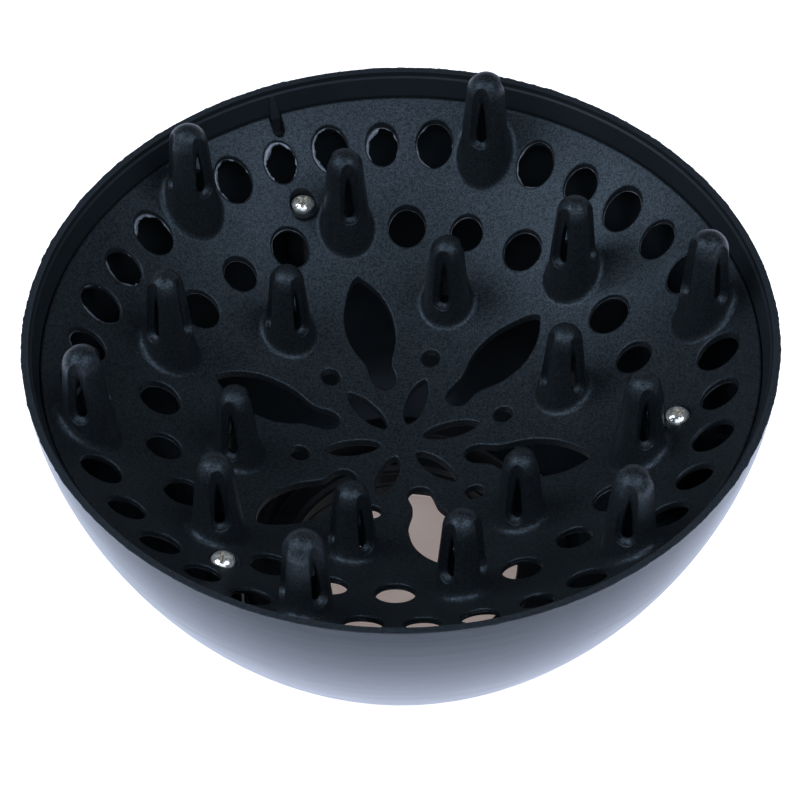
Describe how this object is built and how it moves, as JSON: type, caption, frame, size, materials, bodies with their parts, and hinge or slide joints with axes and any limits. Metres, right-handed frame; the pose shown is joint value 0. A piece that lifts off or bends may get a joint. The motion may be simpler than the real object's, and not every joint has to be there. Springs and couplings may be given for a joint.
{
  "type": "dryer diffuser",
  "caption": "Black bowl-shaped hair dryer diffuser: concave plate of hollow fingers and vents screwed in a glossy bowl, with a twist-to-grip dryer socket.",
  "frame": {"origin": "centre of the dryer socket's mouth face, on the bowl's axis", "axes": "+Z from the dryer socket up through the bowl to the finger tips; +Y towards the far side of the rim as the alignment notch is seen from above at the upper left; +X to the right"},
  "size_m": [0.165, 0.165, 0.1059],
  "materials": {
    "bowl_gloss": "smooth moulded gloss",
    "plate_satin": "fine moulded texture, satin",
    "collar_black": "satin",
    "ring_satin": "satin",
    "leaf_black": "satin",
    "pad_rubber": "matte rubber",
    "silicone": "matte silicone",
    "screw_zinc": "bright zinc",
    "pin_steel": "drawn steel",
    "spring_steel": "spring steel"
  },
  "bodies": {
    "shell": {"bowl": "bowl_gloss", "finger_plate": "plate_satin", "plate_screws": "screw_zinc", "neck_collar": "collar_black", "collar_screws": "screw_zinc", "pivot_pins": "pin_steel", "snap_ring": "spring_steel", "drag_washer": "silicone"},
    "twist": {"twist_ring": "ring_satin"},
    "leaf_1": {"grip_leaf_1": "leaf_black", "grip_pad_1": "pad_rubber"},
    "leaf_2": {"grip_leaf_2": "leaf_black", "grip_pad_2": "pad_rubber"},
    "leaf_3": {"grip_leaf_3": "leaf_black", "grip_pad_3": "pad_rubber"},
    "leaf_4": {"grip_leaf_4": "leaf_black", "grip_pad_4": "pad_rubber"},
    "leaf_5": {"grip_leaf_5": "leaf_black", "grip_pad_5": "pad_rubber"},
    "leaf_6": {"grip_leaf_6": "leaf_black", "grip_pad_6": "pad_rubber"}
  },
  "joints": [
    {"name": "ring_twist", "type": "hinge", "parent": "shell", "child": "twist", "pos_m": [0, 0, 0.005], "axis": [0, 0, 1], "range_deg": [0, 45]},
    {"name": "leaf_1_swing", "type": "hinge", "parent": "shell", "child": "leaf_1", "pos_m": [0.0314, 0, 0.0078], "axis": [0, 0, 1], "range_deg": [0, 20.01]},
    {"name": "leaf_2_swing", "type": "hinge", "parent": "shell", "child": "leaf_2", "pos_m": [0.0157, 0.02719, 0.0078], "axis": [0, 0, 1], "range_deg": [0, 20.01]},
    {"name": "leaf_3_swing", "type": "hinge", "parent": "shell", "child": "leaf_3", "pos_m": [-0.0157, 0.02719, 0.0078], "axis": [0, 0, 1], "range_deg": [0, 20.01]},
    {"name": "leaf_4_swing", "type": "hinge", "parent": "shell", "child": "leaf_4", "pos_m": [-0.0314, 0, 0.0078], "axis": [0, 0, 1], "range_deg": [0, 20.01]},
    {"name": "leaf_5_swing", "type": "hinge", "parent": "shell", "child": "leaf_5", "pos_m": [-0.0157, -0.02719, 0.0078], "axis": [0, 0, 1], "range_deg": [0, 20.01]},
    {"name": "leaf_6_swing", "type": "hinge", "parent": "shell", "child": "leaf_6", "pos_m": [0.0157, -0.02719, 0.0078], "axis": [0, 0, 1], "range_deg": [0, 20.01]}
  ],
  "couplings": [
    {"joint": "leaf_1_swing", "follows": "ring_twist", "ratio": 0.44444},
    {"joint": "leaf_2_swing", "follows": "ring_twist", "ratio": 0.44444},
    {"joint": "leaf_3_swing", "follows": "ring_twist", "ratio": 0.44444},
    {"joint": "leaf_4_swing", "follows": "ring_twist", "ratio": 0.44444},
    {"joint": "leaf_5_swing", "follows": "ring_twist", "ratio": 0.44444},
    {"joint": "leaf_6_swing", "follows": "ring_twist", "ratio": 0.44444}
  ]
}
